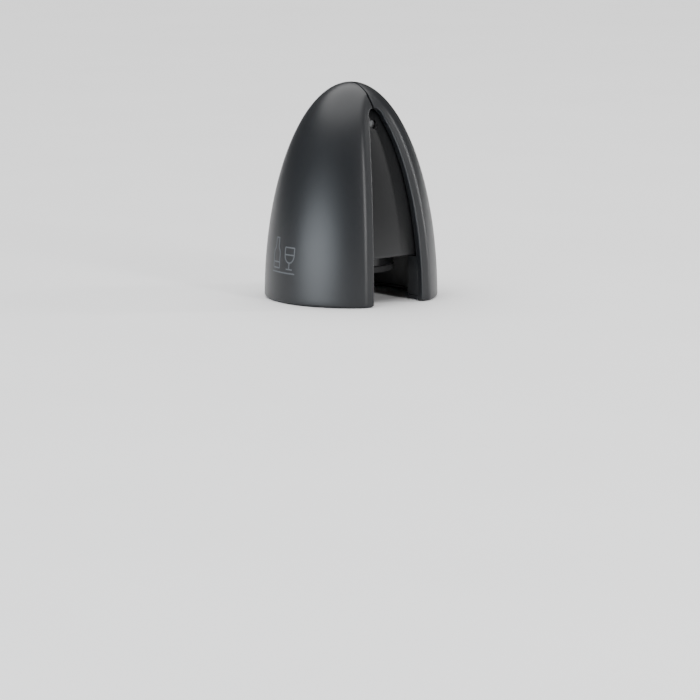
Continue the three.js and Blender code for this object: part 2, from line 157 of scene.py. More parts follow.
SNUG = 0.05
LOOSE = 0.1
BLIND = 0.2
HAIR = 0.02
DISC_BEVEL = 0.9
DISC_EDGE = 0.03
WHEEL_POCKET_RADIUS = 3.9
WHEEL_POCKET_TOP = 2.6
HUB_POCKET_RADIUS = 2.35
SCREW_POINT = 0.8
SPRING_POST_ROOT = 1.5
SPRING_POCKET_RADIUS = 2.7
SPRING_TUBE_RADIUS = 4.2

PAST = 5
FAR = 40
SIDES = {"right": 0, "left": math.pi}


def centre(node):
    """The middle of a CAD node, in millimetres."""
    low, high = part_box(node)
    return (low + high) / (2 * MM)


WHEEL_PLACE = centre("right_rear_cutting_disc")
SCREW_PLACE = centre("right_rear_cover_screw")

# ---- Outline formulas --------------------------------------------------------------------------


def ellipse_at(half_width, height, z):
    return half_width * math.sqrt(max(0, 1 - (z / height) ** 2))


def crease_at(z):
    """Half width of a flat, from the middle plane to the crease where the round grip begins."""
    across = ellipse_at(BODY_RADIUS, BODY_HEIGHT, z) ** 2 - ellipse_at(FLAT_DEPTH, FLAT_HEIGHT, z) ** 2
    return math.sqrt(max(0, across))


def window_at(z):
    if z <= WINDOW_SPRING_LINE:
        return crease_at(max(0, z)) - LAND_WIDTH
    head = WINDOW_TOP - WINDOW_SPRING_LINE
    return ellipse_at(window_at(WINDOW_SPRING_LINE), head, z - WINDOW_SPRING_LINE)


def smoothstep(value, low, high):
    share = min(1, max(0, (value - low) / (high - low)))
    return share * share * (3 - 2 * share)


def core_at(z):
    """Half width of the core, which fills the window from behind."""
    if z <= WINDOW_SPRING_LINE:
        return window_at(z) + CORE_UNDERLAP
    head = CORE_TOP - WINDOW_SPRING_LINE
    return ellipse_at(core_at(WINDOW_SPRING_LINE), head, z - WINDOW_SPRING_LINE)


def levels(start, end, count):
    return [start + (end - start) * i / count for i in range(count + 1)]


def round_levels(start, end, count):
    """Heights whose spacing closes up towards the end, so that a round head stays round."""
    return [start + (end - start) * math.sin(i / count * math.pi / 2) for i in range(count + 1)]


# ---- Mesh tools --------------------------------------------------------------------------------


def new_object(name, points, faces):
    mesh = bpy.data.meshes.new(name)
    mesh.from_pydata([Vector(p) * MM for p in points], [], faces)
    built = bmesh.new()
    built.from_mesh(mesh)
    bmesh.ops.recalc_face_normals(built, faces=built.faces)
    built.to_mesh(mesh)
    built.free()
    obj = bpy.data.objects.new(name, mesh)
    bpy.context.scene.collection.objects.link(obj)
    return obj


def shade(obj, degrees=32):
    obj.data.polygons.foreach_set("use_smooth", [True] * len(obj.data.polygons))
    obj.data.set_sharp_from_angle(angle=math.radians(degrees))
    return obj


def bake_modifiers(obj):
    """Replaces the mesh with what its modifiers make of it."""
    depsgraph = bpy.context.evaluated_depsgraph_get()
    result = bpy.data.meshes.new_from_object(obj.evaluated_get(depsgraph))
    obj.modifiers.clear()
    obj.data = result
    return obj


def combine(obj, tool, operation):
    modifier = obj.modifiers.new("combine", "BOOLEAN")
    modifier.operation = operation
    modifier.solver = "MANIFOLD"
    modifier.object = tool
    bake_modifiers(obj)
    bpy.data.objects.remove(tool)
    return obj


def cut(obj, *tools):
    for tool in tools:
        combine(obj, tool, "DIFFERENCE")
    return obj


def join(obj, *tools):
    for tool in tools:
        combine(obj, tool, "UNION")
    return obj


def common(obj, *tools):
    for tool in tools:
        combine(obj, tool, "INTERSECT")
    return obj


def round_edges(obj, width, segments=3, degrees=38):
    modifier = obj.modifiers.new("round", "BEVEL")
    modifier.width = width * MM
    modifier.segments = segments
    modifier.limit_method = "ANGLE"
    modifier.angle_limit = math.radians(degrees)
    modifier.miter_outer = "MITER_ARC"
    return bake_modifiers(obj)


def moved(obj, matrix):
    obj.data.transform(matrix)
    return obj


def shifted(obj, x=0, y=0, z=0):
    return moved(obj, Matrix.Translation(Vector((x, y, z)) * MM))


def along_x(obj):
    return moved(obj, Matrix.Rotation(math.pi / 2, 4, "Y"))


def along_y(obj):
    return moved(obj, Matrix.Rotation(-math.pi / 2, 4, "X"))


def box(x0, x1, y0, y1, z0, z1):
    points = [(x, y, z) for x in (x0, x1) for y in (y0, y1) for z in (z0, z1)]
    faces = [(0, 1, 3, 2), (4, 6, 7, 5), (0, 4, 5, 1), (2, 3, 7, 6), (0, 2, 6, 4), (1, 5, 7, 3)]
    return new_object("tool", points, faces)


def rounded(corners, radius, steps=4):
    """A closed or open run of (r, z) corners with each corner that isn't on the axis rounded off."""
    points = []
    for i, corner in enumerate(corners):
        here = Vector(corner)
        before, after = Vector(corners[i - 1]), Vector(corners[(i + 1) % len(corners)])
        to_before, to_after = before - here, after - here
        reach = min(radius, 0.45 * to_before.length, 0.45 * to_after.length)
        if here.x < 1e-6:
            points.append(tuple(here))
            continue
        start = here + to_before.normalized() * reach
        end = here + to_after.normalized() * reach
        for step in range(steps + 1):
            t = step / steps
            points.append(tuple(start * (1 - t) ** 2 + here * 2 * t * (1 - t) + end * t**2))
    return points


def lathe(name, profile, segments=96):
    """Turns a closed run of (r, z) points about Z. It may touch the axis at its first and last point."""
    points, rings = [], []
    for r, z in profile:
        if r < 1e-6:
            rings.append([len(points)] * segments)
            points.append((0, 0, z))
            continue
        rings.append(list(range(len(points), len(points) + segments)))
        for i in range(segments):
            angle = 2 * math.pi * i / segments
            points.append((r * math.cos(angle), r * math.sin(angle), z))
    faces = []
    open_ended = profile[0][0] < 1e-6
    for i in range(len(rings) - 1 if open_ended else len(rings)):
        low, high = rings[i], rings[(i + 1) % len(rings)]
        for j in range(segments):
            k = (j + 1) % segments
            corners = [low[j], low[k], high[k], high[j]]
            face = [c for n, c in enumerate(corners) if c not in corners[:n]]
            if len(face) > 2:
                faces.append(face)
    return new_object(name, points, faces)


def rod(radius, z0, z1, segments=64):
    return lathe("tool", [(0, z0), (radius, z0), (radius, z1), (0, z1)], segments)


def egg(inset=0, segments=128, steps=40):
    """A solid half ellipsoid a distance inside the outer one, running straight down past its foot."""
    radius, height = BODY_RADIUS - inset, BODY_HEIGHT - inset
    profile = [(0, -PAST), (radius, -PAST)]
    for i in range(steps):
        angle = i / steps * math.pi / 2
        profile.append((radius * math.cos(angle), height * math.sin(angle)))
    profile.append((0, height))
    return lathe("tool", profile, segments)


def prism(outline, half_length, along="Y"):
    """A closed (across, z) outline pushed both ways along an axis."""
    points = []
    for depth in (-half_length, half_length):
        for across, z in outline:
            points.append((across, depth, z) if along == "Y" else (depth, across, z))
    count = len(outline)
    faces = [tuple(range(count)), tuple(range(2 * count - 1, count - 1, -1))]
    faces += [(i, (i + 1) % count, (i + 1) % count + count, i + count) for i in range(count)]
    return new_object("tool", points, faces)


def symmetric(half_width_at, heights):
    right = [(half_width_at(z), z) for z in heights]
    return right + [(-x, z) for x, z in reversed(right) if x > 1e-6]


def flat_prism(depth, height, steps=64):
    heights = [-PAST] + round_levels(0, height, steps)
    outline = symmetric(lambda z: ellipse_at(depth, height, max(0, z)), heights)
    return prism(outline, FAR, along="X")


# ---- The grip shells ---------------------------------------------------------------------------

FOOT_ROUND = 0.8
FOOT_ROUND_INSIDE = 0.25
LIP_ROUND = 0.38
CREASE_ROUND = 0.75
LIP_STEPS = 4
FLAT_STEPS = 4
CREASE_STEPS = 8
ARC_STEPS = 30
LAST_ANGLE = 88.6
LEAST_LAND = 0.03
FOOT_STEPS = 6


def bend(start, corner, end, steps):
    """Points of a curve that leaves start for corner and ends at end, both ends included."""
    run = []
    for i in range(steps + 1):
        t = i / steps
        run.append(start * (1 - t) ** 2 + corner * 2 * t * (1 - t) + end * t**2)
    return run


def section_corners(z, inset, wall):
    """The grip's radius, the lip and the crease of a shell's section at a height."""
    radius = ellipse_at(BODY_RADIUS - wall, BODY_HEIGHT - wall, z) - inset
    depth = ellipse_at(FLAT_DEPTH - wall, FLAT_HEIGHT - wall, z) - inset
    edge = max(window_at(z), SEAM_HALF) + abs(inset)
    lip_angle = math.acos(min(1, edge / radius))
    crease_angle = min(math.asin(min(1, depth / radius)), lip_angle - LEAST_LAND)
    lip = Vector((edge, -min(depth, radius * math.sin(lip_angle))))
    return radius, lip, crease_angle


def on_circle(radius, angle):
    return Vector((radius * math.cos(angle), -radius * math.sin(angle)))


def half_section(z, inset, wall):
    """Front half of a shell's outside, or of its inside a wall in from it.

    It runs from the lip to the middle of the grip.
    """
    radius, lip, crease_angle = section_corners(z, inset, wall)
    crease = on_circle(radius, crease_angle)
    land = crease - lip
    lip_reach = min(LIP_ROUND, 0.3 * land.length, 0.3 * radius)
    crease_reach = min(CREASE_ROUND, 0.55 * land.length)
    into_wall = Vector((0, -lip_reach if wall else lip_reach))
    points = bend(lip + into_wall, lip, lip + land.normalized() * lip_reach, LIP_STEPS)
    start, end = points[-1], crease - land.normalized() * crease_reach
    points += [start.lerp(end, i / FLAT_STEPS) for i in range(1, FLAT_STEPS)]
    arc_start = crease_angle - crease_reach / radius
    points += bend(end, crease, on_circle(radius, arc_start), CREASE_STEPS)
    return points + [on_circle(radius, a) for a in levels(arc_start, 0, ARC_STEPS)[1:]]


def both_halves(half, z):
    """A whole section at a height, made by mirroring its front half."""
    front = [(p.x, p.y, z) for p in half]
    return front + [(x, -y, z) for x, y, _ in reversed(front[:-1])]


def shell_rows():
    """Rows of a shell from its foot up: outer height, outer inset, inner height, inner inset."""
    rows = []
    for turn in levels(0, math.pi / 2, FOOT_STEPS):
        rise, draw = 1 - math.cos(turn), 1 - math.sin(turn)
        outer, inner = FOOT_ROUND, FOOT_ROUND_INSIDE
        rows.append((outer * rise, outer * draw, inner * rise, -inner * draw))
    heights = [BODY_HEIGHT * math.sin(math.radians(a)) for a in levels(2, LAST_ANGLE, 80)]
    heights += round_levels(WINDOW_SPRING_LINE - 1, WINDOW_TOP + HAIR, 18)
    for z in sorted(heights):
        rows.append((z, 0, z * (BODY_HEIGHT - SHELL_WALL) / BODY_HEIGHT, 0))
    return rows


def shell_faces(across, up):
    """Faces of a wall whose outer grid of points comes first and whose inner grid follows."""

    def out(row, i):
        return row * across + i

    def ins(row, i):
        return (up + row) * across + i

    faces = []
    for row in range(up - 1):
        for i in range(across - 1):
            faces.append((out(row, i), out(row, i + 1), out(row + 1, i + 1), out(row + 1, i)))
            faces.append((ins(row, i + 1), ins(row, i), ins(row + 1, i), ins(row + 1, i + 1)))
        for i in (0, across - 1):
            faces.append((out(row, i), ins(row, i), ins(row + 1, i), out(row + 1, i)))
    faces += [(out(0, i), ins(0, i), ins(0, i + 1), out(0, i + 1)) for i in range(across - 1)]
    top, last = up - 1, across - 1
    faces.append(tuple(out(top, i) for i in range(across)))
    faces.append(tuple(ins(top, i) for i in range(across)))
    faces.append((out(top, 0), ins(top, 0), ins(top, last), out(top, last)))
    return faces


def grip_shell(name):
    """The curved wall, with room for the discs' edges and a pilot hole for its screw."""
    outer, inner = [], []
    for z_out, inset_out, z_in, inset_in in shell_rows():
        outer.append(both_halves(half_section(z_out, inset_out, 0), z_out))
        inner.append(both_halves(half_section(z_in, inset_in, SHELL_WALL), z_in))
    points = [p for row in outer + inner for p in row]
    shell = new_object(name, points, shell_faces(len(outer[0]), len(outer)))
    pilot = along_x(rod(SCREW_SHANK_RADIUS + SNUG, BOSS_X - BOSS_LENGTH, BOSS_X + PILOT_DEPTH))
    cut(shell, *disc_pockets(), shifted(pilot, z=SHELL_SCREW_HEIGHT))
    return shade(shell, 50)


# ---- The jaws' inner pieces --------------------------------------------------------------------

BOSS_X = ellipse_at(BODY_RADIUS - SHELL_WALL, BODY_HEIGHT - SHELL_WALL, SHELL_SCREW_HEIGHT)
SHELL_INSIDE = SHELL_WALL + CLEARANCE


def both_ends(make, place):
    """The tool that make() gives, in front of and behind the middle plane."""
    return [shifted(make(), place.x, place.y), shifted(make(), place.x, -place.y)]


def shell_boss(name):
    """The post inside a shell that its screw bites into."""
    start, end = BOSS_X - BOSS_LENGTH, BOSS_X + 0.4
    bore = SCREW_SHANK_RADIUS + SNUG
    profile = rounded([(bore, start), (BOSS_RADIUS, start), (BOSS_RADIUS, end), (bore, end)], 0.2)
    return shade(shifted(along_x(lathe(name, profile, 64)), z=SHELL_SCREW_HEIGHT))


def hollow_at(inset):
    """The inside of the closed egg a distance in from its outer surface, flats and all."""
    return common(egg(inset), flat_prism(FLAT_DEPTH - inset, FLAT_HEIGHT - inset))


def jaw_block():
    space = box(JAW_INNER_FACE, FAR, -FAR, FAR, COVER_TOP + LOOSE, BLOCK_TOP)
    block = common(hollow_at(SHELL_INSIDE), space)
    return cut(block, rod(MOUTH_RADIUS, -PAST, BODY_HEIGHT, 160))


def jaw_arm():
    inset = SHELL_INSIDE
    foot, top = BLOCK_TOP - 1, HINGE_HEIGHT - KNUCKLE_RADIUS
    space = box(ARM_NEAR, FAR, -ARM_HALF_WIDTH, ARM_HALF_WIDTH, foot, top + 1)
    arm = common(cut(egg(inset), egg(inset + ARM_WALL)), space)
    for y in (-RIB_PLACE, RIB_PLACE):
        space = box(ARM_NEAR, FAR, y - RIB_HALF_WIDTH, y + RIB_HALF_WIDTH, foot, top)
        join(arm, common(cut(egg(inset), egg(inset + RIB_DEPTH)), space))
    return arm


def jaw_hinge():
    """The shoulder and the knuckle that reach over to the pin."""
    low, high = HINGE_HEIGHT - KNUCKLE_RADIUS, HINGE_HEIGHT + KNUCKLE_RADIUS
    shoulder = common(egg(SHELL_INSIDE), box(0, FAR, KNUCKLE_NEAR, KNUCKLE_FAR, low, high))
    knuckle = shifted(along_y(rod(KNUCKLE_RADIUS, KNUCKLE_NEAR, KNUCKLE_FAR)), z=HINGE_HEIGHT)
    return join(shoulder, knuckle)


def spring_post():
    post = rod(SPRING_POST_RADIUS, SPRING_OUTER - SPRING_POST_LENGTH, SPRING_OUTER + SPRING_POST_ROOT)
    return shifted(along_x(post), z=SPRING_HEIGHT)


def disc_pockets():
    """Tools that give both discs of a jaw room, in its frame and in its shell."""
    return both_ends(lambda: rod(WHEEL_POCKET_RADIUS, COVER_TOP, WHEEL_POCKET_TOP), WHEEL_PLACE)


def wheel_pockets():
    """Tools for the disc, hub, axle and cover screw at both ends of a jaw."""
    pockets = (
        (WHEEL_PLACE, HUB_POCKET_RADIUS, WHEEL_PLANE, HUB_TOP + BLIND),
        (WHEEL_PLACE, AXLE_RADIUS + SNUG, 0, AXLE_TOP + BLIND),
        (SCREW_PLACE, SCREW_SHANK_RADIUS + SNUG, 0, COVER_SCREW_TOP + 2 * BLIND),
    )
    tools = disc_pockets()
    for place, radius, low, high in pockets:
        tools += both_ends(lambda: rod(radius, low, high), place)
    return tools


def jaw_frame(name):
    collar = along_x(rod(COLLAR_RADIUS, BOSS_X - BOSS_LENGTH + LOOSE, BOSS_X - 1))
    collar = common(shifted(collar, z=SHELL_SCREW_HEIGHT), egg(SHELL_INSIDE))
    frame_piece = join(jaw_block(), jaw_arm(), jaw_hinge(), collar)
    cut(frame_piece, shifted(along_x(rod(BOSS_RADIUS + 0.25, 0, FAR)), z=SHELL_SCREW_HEIGHT))
    join(frame_piece, spring_post())
    cut(frame_piece, shifted(along_y(rod(PIN_RADIUS + LOOSE, -FAR, FAR)), z=HINGE_HEIGHT))
    cut(frame_piece, *wheel_pockets())
    frame_piece.name = name
    return shade(frame_piece)


def cover_outline():
    """A crescent between the shell and the bottle's mouth, straight along the flats and the tips."""
    outer, depth = BODY_RADIUS - SHELL_INSIDE, FLAT_DEPTH - SHELL_INSIDE
    outer_angle = math.asin(depth / outer)
    inner_angle = math.acos(JAW_INNER_FACE / MOUTH_RADIUS)
    outside = [on_circle(outer, a) for a in levels(outer_angle, -outer_angle, 120)]
    inside = [on_circle(MOUTH_RADIUS, a) for a in levels(-inner_angle, inner_angle, 96)]
    points = [Vector((JAW_INNER_FACE, -depth))] + outside + [Vector((JAW_INNER_FACE, depth))] + inside
    return [(p.x, p.y) for p in points]


def wheel_cover(name):
    outline = cover_outline()
    count = len(outline)
    points = [(x, y, z) for z in (COVER_FOOT, COVER_TOP) for x, y in outline]
    faces = [tuple(range(count)), tuple(range(2 * count - 1, count - 1, -1))]
    faces += [(i, (i + 1) % count, (i + 1) % count + count, i + count) for i in range(count)]
    cover = round_edges(new_object(name, points, faces), 0.18)
    sink, shank = SCREW_HEAD_RADIUS + LOOSE, SCREW_SHANK_RADIUS + LOOSE
    profile = [(0, -PAST), (sink, -PAST), (sink, COVER_FOOT + LOOSE)]
    profile += [(shank, COVER_FOOT + SCREW_HEAD_DEPTH), (shank, PAST), (0, PAST)]
    cut(cover, *both_ends(lambda: lathe("tool", profile, 64), SCREW_PLACE))
    cut(cover, *both_ends(lambda: rod(AXLE_RADIUS + SNUG, 0, PAST), WHEEL_PLACE))
    return shade(cover)


def cross_slot(size, depth, half=0.2):
    return [box(-size, size, -half, half, -1, depth), box(-half, half, -size, size, -1, depth)]


def cover_screw(name):
    face, neck = COVER_FOOT + SNUG, COVER_FOOT + SCREW_HEAD_DEPTH + SNUG
    corners = [(0, face), (SCREW_HEAD_RADIUS, face), (SCREW_HEAD_RADIUS, face + LOOSE)]
    corners += [(SCREW_SHANK_RADIUS, neck), (SCREW_SHANK_RADIUS, COVER_SCREW_TOP - SCREW_POINT)]
    corners += [(0, COVER_SCREW_TOP)]
    screw = lathe(name, rounded(corners, 0.08), 64)
    return shade(cut(screw, *cross_slot(0.95, COVER_FOOT + 0.45)))


def shell_screw(name):
    head = BOSS_X - BOSS_LENGTH - LOOSE
    face = head - SHELL_SCREW_HEAD_DEPTH
    corners = [(0, face), (SHELL_SCREW_HEAD_RADIUS - 0.3, face), (SHELL_SCREW_HEAD_RADIUS, face + 0.5)]
    corners += [(SHELL_SCREW_HEAD_RADIUS, head), (SCREW_SHANK_RADIUS, head)]
    corners += [(SCREW_SHANK_RADIUS, BOSS_X - 0.6), (0, BOSS_X)]
    slot = [shifted(tool, z=face) for tool in cross_slot(1.4, 0.6)]
    screw = cut(lathe(name, rounded(corners, 0.3), 64), *slot)
    return shade(shifted(along_x(screw), z=SHELL_SCREW_HEIGHT))


def return_spring(name):
    """A helix whose end coils lie closed against their seats."""
    steps, sides = SPRING_TURNS * 32, 12
    start, end = SPRING_INNER + SPRING_WIRE, SPRING_OUTER - SPRING_WIRE
    line = []
    for i in range(steps + 1):
        t = i / steps
        share = (t + smoothstep(t, 0, 1)) / 2
        angle = t * SPRING_TURNS * 2 * math.pi
        across, up = SPRING_RADIUS * math.cos(angle), SPRING_RADIUS * math.sin(angle)
        line.append(Vector((start + (end - start) * share, across, SPRING_HEIGHT + up)))
    points = []
    for i, at in enumerate(line):
        along = (line[min(i + 1, steps)] - line[max(i - 1, 0)]).normalized()
        out = (at - Vector((at.x, 0, SPRING_HEIGHT))).normalized()
        beside = along.cross(out)
        for j in range(sides):
            angle = 2 * math.pi * j / sides
            points.append(tuple(at + SPRING_WIRE * (out * math.cos(angle) + beside * math.sin(angle))))
    faces = [tuple(range(sides)), tuple(range(steps * sides + sides - 1, steps * sides - 1, -1))]
    for i in range(steps):
        for j in range(sides):
            k = (j + 1) % sides
            faces.append((i * sides + j, i * sides + k, (i + 1) * sides + k, (i + 1) * sides + j))
    return shade(new_object(name, points, faces), 60)


# ---- The wheels --------------------------------------------------------------------------------


def cutting_disc(name):
    bore, bevel, edge = HUB_RADIUS + HAIR, WHEEL_RADIUS - DISC_BEVEL, WHEEL_RADIUS - DISC_EDGE
    half = WHEEL_THICKNESS / 2
    lower = [(bore, -half), (bevel - SNUG, -half), (bevel, HAIR - half), (edge, -DISC_EDGE)]
    upper = [(r, -z) for r, z in reversed(lower)]
    profile = [(r, WHEEL_PLANE + z) for r, z in lower + [(WHEEL_RADIUS, 0)] + upper]
    return shade(lathe(name, profile, 128), 12)


def wheel_hub(name):
    bore = AXLE_RADIUS + 0.06
    shoulder = WHEEL_PLANE + WHEEL_THICKNESS / 2 + DISC_EDGE
    corners = [(bore, HUB_FOOT), (HUB_RADIUS, HUB_FOOT), (HUB_RADIUS, shoulder)]
    corners += [(HUB_SHOULDER_RADIUS, shoulder), (HUB_SHOULDER_RADIUS, HUB_TOP), (bore, HUB_TOP)]
    return shade(lathe(name, rounded(corners, 0.1, 3), 64))


def wheel_axle(name):
    corners = [(0, AXLE_FOOT), (AXLE_RADIUS, AXLE_FOOT), (AXLE_RADIUS, AXLE_TOP), (0, AXLE_TOP)]
    return shade(lathe(name, rounded(corners, 0.22), 64))


# ---- The core ----------------------------------------------------------------------------------

CORE_EDGE_ROUND = 0.45


def rounded_rectangle(half_x, half_y, radius, z, steps=5):
    radius = min(radius, 0.8 * half_x)
    loop = []
    for sx, sy, turn in ((1, 1, False), (-1, 1, True), (-1, -1, False), (1, -1, True)):
        corner = Vector((sx * half_x, sy * half_y))
        beside = corner - Vector((0, sy * radius))
        along = corner - Vector((sx * radius, 0))
        first, second = (along, beside) if turn else (beside, along)
        loop += [(p.x, p.y, z) for p in bend(first, corner, second, steps)]
    return loop


def loft(name, loops):
    """Joins closed loops of equal count into a solid, with a flat cap at each end."""
    count = len(loops[0])
    points = [p for loop in loops for p in loop]
    faces = [tuple(range(count)), tuple(range(len(points) - 1, len(points) - count - 1, -1))]
    for row in range(len(loops) - 1):
        for i in range(count):
            j = (i + 1) % count
            low, high = row * count, (row + 1) * count
            faces.append((low + i, low + j, high + j, high + i))
    return new_object(name, points, faces)


def core_slice(z, draw=0):
    depth, height = FLAT_DEPTH - CORE_RECESS, BODY_HEIGHT - CORE_CROWN_DROP
    return rounded_rectangle(core_at(z) - draw, ellipse_at(depth, height, z) - draw, CORE_EDGE_ROUND, z)


def core_slab():
    """The solid block between the front and rear faces, with every outer edge rounded."""
    loops = []
    for turn in levels(0, math.pi / 2, 6)[:-1]:
        draw, rise = 1 - math.sin(turn), 1 - math.cos(turn)
        loops.append(core_slice(CORE_FOOT + CORE_EDGE_ROUND * rise, CORE_EDGE_ROUND * draw))
    heights = levels(CORE_FOOT + CORE_EDGE_ROUND, WINDOW_SPRING_LINE, 60)
    heights += round_levels(WINDOW_SPRING_LINE, CORE_TOP, 14)[1:-1]
    return loft("tool", loops + [core_slice(z) for z in heights])


def core_hollow():
    """The four rooms inside the core, round its web, its rib and the spring tubes."""
    depth, height = FLAT_DEPTH - CORE_RECESS, BODY_HEIGHT - CORE_CROWN_DROP
    hollow = flat_prism(depth - CORE_WALL, height - CORE_WALL)
    common(hollow, box(-FAR, FAR, -FAR, FAR, CORE_FOOT + CORE_WALL, CORE_HOLLOW_TOP))
    cut(hollow, shifted(along_x(rod(SPRING_TUBE_RADIUS, -FAR, FAR)), z=SPRING_HEIGHT))
    cut(hollow, box(-FAR, FAR, -CORE_RIB, CORE_RIB, -PAST, BODY_HEIGHT))
    return cut(hollow, box(-CORE_WEB, CORE_WEB, -FAR, FAR, -PAST, BODY_HEIGHT))


def core_frame(name):
    boss_top = CORE_FOOT + 0.5
    boss = [(0, STOP_BOSS_FOOT), (STOP_RADIUS, STOP_BOSS_FOOT), (STOP_RADIUS, boss_top), (0, boss_top)]
    core = join(core_slab(), lathe("tool", rounded(boss, 0.3), 128))
    cut(core, core_hollow(), box(-FAR, FAR, -YOKE_INNER, YOKE_INNER, YOKE_FLOOR, BODY_HEIGHT))
    cut(core, shifted(along_y(rod(PIN_RADIUS + SNUG, -FAR, FAR)), z=HINGE_HEIGHT))
    for turn in SIDES.values():
        pocket = shifted(along_x(rod(SPRING_POCKET_RADIUS, SPRING_INNER - 0.3, FAR)), z=SPRING_HEIGHT)
        cut(core, moved(pocket, Matrix.Rotation(turn, 4, "Z")))
    cut(core, rod(STEM_RADIUS + BLIND, 0, STEM_TOP + BLIND))
    core.name = name
    return shade(core)


def stop_pad(name):
    """A rubber disc with shallow rings moulded in its face and a stem that grips the core."""
    floor, back = STOP_FACE + RING_DEPTH, STOP_BOSS_FOOT - LOOSE
    profile = [(0, STOP_FACE)]
    for ring in range(1, RING_COUNT + 1):
        r = ring * RING_GAP
        profile += [(r, STOP_FACE), (r + 0.12, floor), (r + 0.48, floor), (r + 0.6, STOP_FACE)]
    profile += [(STOP_RADIUS, STOP_FACE), (STOP_RADIUS, back), (STEM_RADIUS, back)]
    profile += [(STEM_RADIUS, STEM_TOP), (0, STEM_TOP)]
    return shade(lathe(name, rounded(profile, 0.3, 3), 128))


def hinge_pin(name):
    reach = PIN_HALF_LENGTH
    corners = [(0, -reach), (PIN_RADIUS, -reach), (PIN_RADIUS, reach), (0, reach)]
    return shade(shifted(along_y(lathe(name, rounded(corners, 0.3), 64)), z=HINGE_HEIGHT))


# ---- The mark on the grip ----------------------------------------------------------------------

MARK_MIDDLE = 13.6
MARK_LINE = 0.36
MARK_STEP = 0.3
MARK_PROUD = 0.03
MARK_SUNK = 0.06


def on_grip(across, z, lift):
    """A point on the +X grip: across is measured round its girth from the middle."""
    radius = ellipse_at(BODY_RADIUS, BODY_HEIGHT, z)
    angle = across / radius
    return Vector(((radius + lift) * math.cos(angle), (radius + lift) * math.sin(angle), z))


def finer(line):
    """The same line with points close enough together to follow the grip."""
    points = [line[0]]
    for start, end in zip(line, line[1:]):
        pieces = max(1, math.ceil(math.dist(start, end) / MARK_STEP))
        points += [tuple(Vector(start).lerp(Vector(end), i / pieces)) for i in range(1, pieces + 1)]
    return points


def stroke(name, line):
    """A thin raised line on the grip through (across, height) points."""
    line = finer(line)
    edges = []
    for i, at in enumerate(line):
        ahead = Vector(line[min(i + 1, len(line) - 1)]) - Vector(line[max(i - 1, 0)])
        beside = Vector((-ahead.y, ahead.x)).normalized() * MARK_LINE / 2
        edges.append((Vector(at) - beside, Vector(at) + beside))
    loops = []
    for right, left in edges:
        corners = ((right, -MARK_SUNK), (right, MARK_PROUD), (left, MARK_PROUD), (left, -MARK_SUNK))
        loops.append([tuple(on_grip(p.x, p.y, lift)) for p, lift in corners])
    return loft(name, loops)


def arc(middle_x, middle_z, radius_x, radius_z, start, end, steps=24):
    angles = [math.radians(a) for a in levels(start, end, steps)]
    return [(middle_x + radius_x * math.cos(a), middle_z + radius_z * math.sin(a)) for a in angles]


def mark_lines():
    """A bottle beside a stemmed glass, standing on one line."""
    base = MARK_MIDDLE - 4.6
    bottle = [(-4.4, base + 0.6), (-4.4, base + 4.4)] + arc(-3.4, base + 4.4, 1.0, 1.6, 180, 110, 8)
    bottle += [(-3.6, base + 6.8), (-3.6, base + 8.8), (-2.2, base + 8.8), (-2.2, base + 6.8)]
    bottle += arc(-2.4, base + 4.4, 1.0, 1.6, 70, 0, 8) + [(-1.4, base + 0.6), (-4.4, base + 0.6)]
    bowl = [(0.9, base + 6.6)] + arc(2.7, base + 4.6, 1.8, 2.2, 180, 360, 28)
    bowl += [(4.5, base + 6.6), (0.9, base + 6.6)]
    level = [(1.0, base + 4.6), (4.4, base + 4.6)]
    stem = [(2.7, base + 2.4), (2.7, base + 0.6)]
    foot = [(1.5, base + 0.6), (3.9, base + 0.6)]
    label = [(-4.4, base + 2.2), (-1.4, base + 2.2)]
    table = [(-5.0, base - 0.5), (4.9, base - 0.5)]
    return [bottle, bowl, level, stem, foot, label, table]


def grip_mark(name):
    strokes = [stroke(name, line) for line in mark_lines()]
    for extra in strokes[1:]:
        built = bmesh.new()
        built.from_mesh(strokes[0].data)
        built.from_mesh(extra.data)
        built.to_mesh(strokes[0].data)
        built.free()
        bpy.data.objects.remove(extra)
    strokes[0].name = name
    return shade(strokes[0], 40)


# ---- Materials ---------------------------------------------------------------------------------


